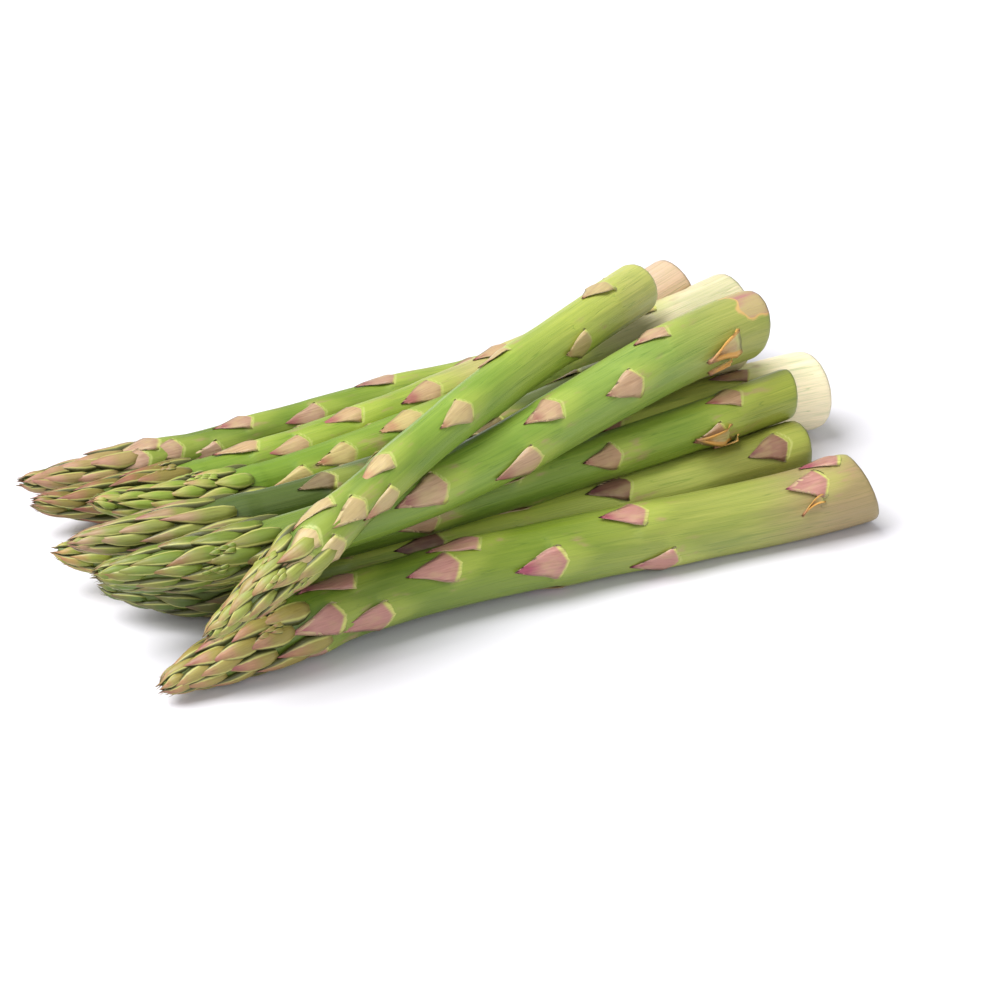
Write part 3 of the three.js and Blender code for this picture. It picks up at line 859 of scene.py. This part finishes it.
# For each head: how many bracts, how long and half as wide as the lowest are, how many side buds show,
# and the bracts' colours at the foot, the middle and the point.
HEADS = {
    "spear_front": (40, 15.5, 3.7, 2, (0.27, 0.22, 0.05), (0.33, 0.17, 0.085), (0.26, 0.08, 0.07)),
    "spear_crossing": (44, 12.5, 3.0, 7, (0.24, 0.27, 0.045), (0.32, 0.22, 0.085), (0.27, 0.12, 0.06)),
    "spear_thick": (44, 17, 3.3, 6, (0.13, 0.18, 0.017), (0.18, 0.18, 0.03), (0.20, 0.10, 0.035)),
    "spear_under": (42, 16, 3.0, 4, (0.11, 0.18, 0.02), (0.16, 0.18, 0.035), (0.20, 0.12, 0.05)),
    "spear_middle": (44, 16, 3.1, 4, (0.09, 0.14, 0.02), (0.13, 0.13, 0.03), (0.13, 0.08, 0.03)),
    "spear_white_end": (42, 16, 3.0, 2, (0.24, 0.27, 0.032), (0.36, 0.23, 0.07), (0.32, 0.13, 0.06)),
    "spear_hidden": (38, 21, 3.0, 1, (0.20, 0.22, 0.04), (0.32, 0.20, 0.11), (0.28, 0.12, 0.08)),
    "spear_green_head": (46, 14.5, 3.0, 6, (0.23, 0.31, 0.04), (0.34, 0.33, 0.08), (0.40, 0.21, 0.10)),
    "spear_purple_tip": (40, 17, 3.2, 3, (0.19, 0.15, 0.028), (0.26, 0.115, 0.055), (0.20, 0.055, 0.038)),
    "spear_back": (32, 17, 3.3, 1, (0.31, 0.23, 0.08), (0.37, 0.20, 0.12), (0.29, 0.11, 0.08)),
}


def make_bract_form():
    """A plump pointed bract, 2 wide, 1 long and 1 high, flat below, its foot at 0 and its point at 1."""
    bpy.ops.object.select_all(action="DESELECT")
    bpy.ops.mesh.primitive_cylinder_add(
        vertices=BRACT_SIDES, radius=1, depth=1, location=(0, 0.5, 0), rotation=(math.radians(-90), 0, 0))
    form = bpy.context.object
    bpy.ops.object.transform_apply(location=True, rotation=True, scale=False)
    bpy.ops.object.mode_set(mode="EDIT")
    bpy.ops.mesh.select_mode(type="EDGE")
    bpy.ops.mesh.select_all(action="DESELECT")
    shape = bmesh.from_edit_mesh(form.data)
    for edge in shape.edges:
        edge.select = abs(edge.verts[0].co.y - edge.verts[1].co.y) > 0.5
    bmesh.update_edit_mesh(form.data)
    bpy.ops.mesh.subdivide(number_cuts=BRACT_RINGS - 1)
    bpy.ops.object.mode_set(mode="OBJECT")
    set_attribute(form.data, "flat", corner_places(form.data))
    bpy.ops.object.mode_set(mode="EDIT")
    bpy.ops.mesh.select_mode(type="VERT")
    shape = bmesh.from_edit_mesh(form.data)
    for ring in range(BRACT_RINGS + 1):
        along = ring / BRACT_RINGS
        width = max(math.sin(math.pi * (0.25 + 0.75 * along ** 0.8)) ** 0.95, 0.03)
        resize_row(shape, form.data, along, 0.25 / BRACT_RINGS, width, width ** 0.8)
    for corner in shape.verts:
        corner.select = corner.co.z < -0.001
    shape.select_flush_mode()
    bmesh.update_edit_mesh(form.data)
    bpy.ops.transform.resize(value=(1, 1, UNDERSIDE_HEIGHT), center_override=(0, 0, 0))
    bpy.ops.object.mode_set(mode="OBJECT")
    return form


def bract_places(spear, draw, bract_count, low_length, half_width, bud_count):
    """The head's bracts from the lowest up, then the beads of its side buds and the hairs at its tip."""
    leaves = []
    for count in range(bract_count):
        share = count / (bract_count - 1)
        reach = spear["bracts_reach"] - LAST_BRACT_FROM_TIP
        from_tip = LAST_BRACT_FROM_TIP + reach * (1 - share) ** 1.15
        length = min(low_length * (1 - BRACT_SHORTENING * share), from_tip + 1) * draw.uniform(*BRACT_SPREAD)
        rise = 1.1 - 0.7 * share
        loose = (draw.random() < LOOSE_BRACTS) * (1 - share)
        leaves.append(dict(
            distance=spear["length"] - from_tip, turn=GOLDEN_TURN * count + draw.uniform(-0.2, 0.2),
            length=length,
            half_width=half_width * (1 - BRACT_NARROWING * share) * draw.uniform(*BRACT_SPREAD),
            arch=0.5, lifts=(-0.8, -0.6, 0.4 * rise, rise * draw.uniform(0.5, 1.1) + loose), curl=0,
            puff=2.3 - 1.2 * share, twist=draw.uniform(-1.5, 1.5), chance=draw.random()))
    for count in range(bud_count):
        parent = leaves[count + draw.integers(0, 5)]
        side = draw.choice([-1, 1]) * draw.uniform(0.30, 0.45)
        start = parent["distance"] + draw.uniform(3, 9)
        for bead in range(BEADS):
            around = GOLDEN_TURN * bead
            height = 1.4 + 0.6 * math.sin(around) - 0.1 * bead
            leaves.append(dict(
                distance=start + BEAD_STEP * bead, turn=parent["turn"] + side + 0.10 * math.cos(around),
                length=3.6, half_width=0.8, arch=0,
                lifts=(height - 0.5, height - 0.3, height, height - 0.1), curl=0,
                puff=0.8, twist=draw.uniform(-0.4, 0.4), chance=draw.uniform(0, 0.3)))
    for count in range(TIP_HAIRS):
        leaves.append(dict(
            distance=spear["length"] - draw.uniform(1.5, 5), turn=draw.uniform(0, 2 * math.pi),
            length=draw.uniform(2.5, 4), half_width=0.16, arch=0,
            lifts=(0.3, 0.6, 1.1, draw.uniform(1.2, 2)), curl=0,
            puff=0.12, twist=draw.uniform(-0.8, 0.8), chance=draw.random()))
    return leaves


bract_form = make_bract_form()
for name, spear in SPEARS.items():
    bract_count, low_length, half_width, bud_count, foot, middle, point = HEADS[name]
    draw = np.random.default_rng(200 + spear["seed"])
    bracts = bract_places(spear, draw, bract_count, low_length, half_width, bud_count)
    piece = grow_leaves(name + "_bracts", bract_form, spear, bracts)
    piece.data.materials.append(make_leaf_material(
        name + "_bract_skin", [(0.1, foot), (0.35, foot), (0.65, middle), (0.95, point)],
        tint=foot, margin=0.8, margin_colour=BRACT_MARGIN, margin_start=0.5, root=BRACT_GAP_SHADE,
        change=0.35))
    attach(piece, "root")
    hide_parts(name)
bpy.data.objects.remove(bract_form)


# Table and light
# A plain white surface. The light comes from a wide window above, to the left and a little behind,
# and a weak card in front opens the shadows, which fall softly to the right.
FLOOR_SIZE = 6
FLOOR_COLOUR = (0.71, 0.70, 0.74)
FLOOR_DROP = 0.0001
WORLD_STRENGTH = 0.47
WINDOW_PLACE = (-1.45, 0.22, 2.5)
WINDOW_SIZE = 2.1
WINDOW_POWER = 137
CARD_PLACE = (-0.3, -1.2, 0.7)
CARD_SIZE = 0.8
CARD_POWER = 6

bpy.ops.object.select_all(action="DESELECT")
bpy.ops.mesh.primitive_plane_add(size=FLOOR_SIZE, location=(0, 0, -FLOOR_DROP))
floor = bpy.context.object
floor.name = "floor"
floor_material, floor_tree, floor_shader = new_material("white_floor")
floor_shader.inputs["Base Color"].default_value = (*FLOOR_COLOUR, 1)
floor_shader.inputs["Roughness"].default_value = 0.9
floor_shader.inputs["Specular IOR Level"].default_value = 0.1
floor.data.materials.append(floor_material)

world = bpy.data.worlds.new("studio")
world.use_nodes = True
world.node_tree.nodes["Background"].inputs["Color"].default_value = (1, 1, 1, 1)
world.node_tree.nodes["Background"].inputs["Strength"].default_value = WORLD_STRENGTH
bpy.context.scene.world = world
bpy.context.scene.view_settings.view_transform = "Standard"


def add_light(name, place_from, size, power):
    """A soft square light that faces the pile."""
    data = bpy.data.lights.new(name, "AREA")
    data.size = size
    data.energy = power
    light = bpy.data.objects.new(name, data)
    light.location = place_from
    light.rotation_euler = Vector(place_from).to_track_quat("Z", "Y").to_euler()
    bpy.context.collection.objects.link(light)


add_light("window", WINDOW_PLACE, WINDOW_SIZE, WINDOW_POWER)
add_light("front_card", CARD_PLACE, CARD_SIZE, CARD_POWER)
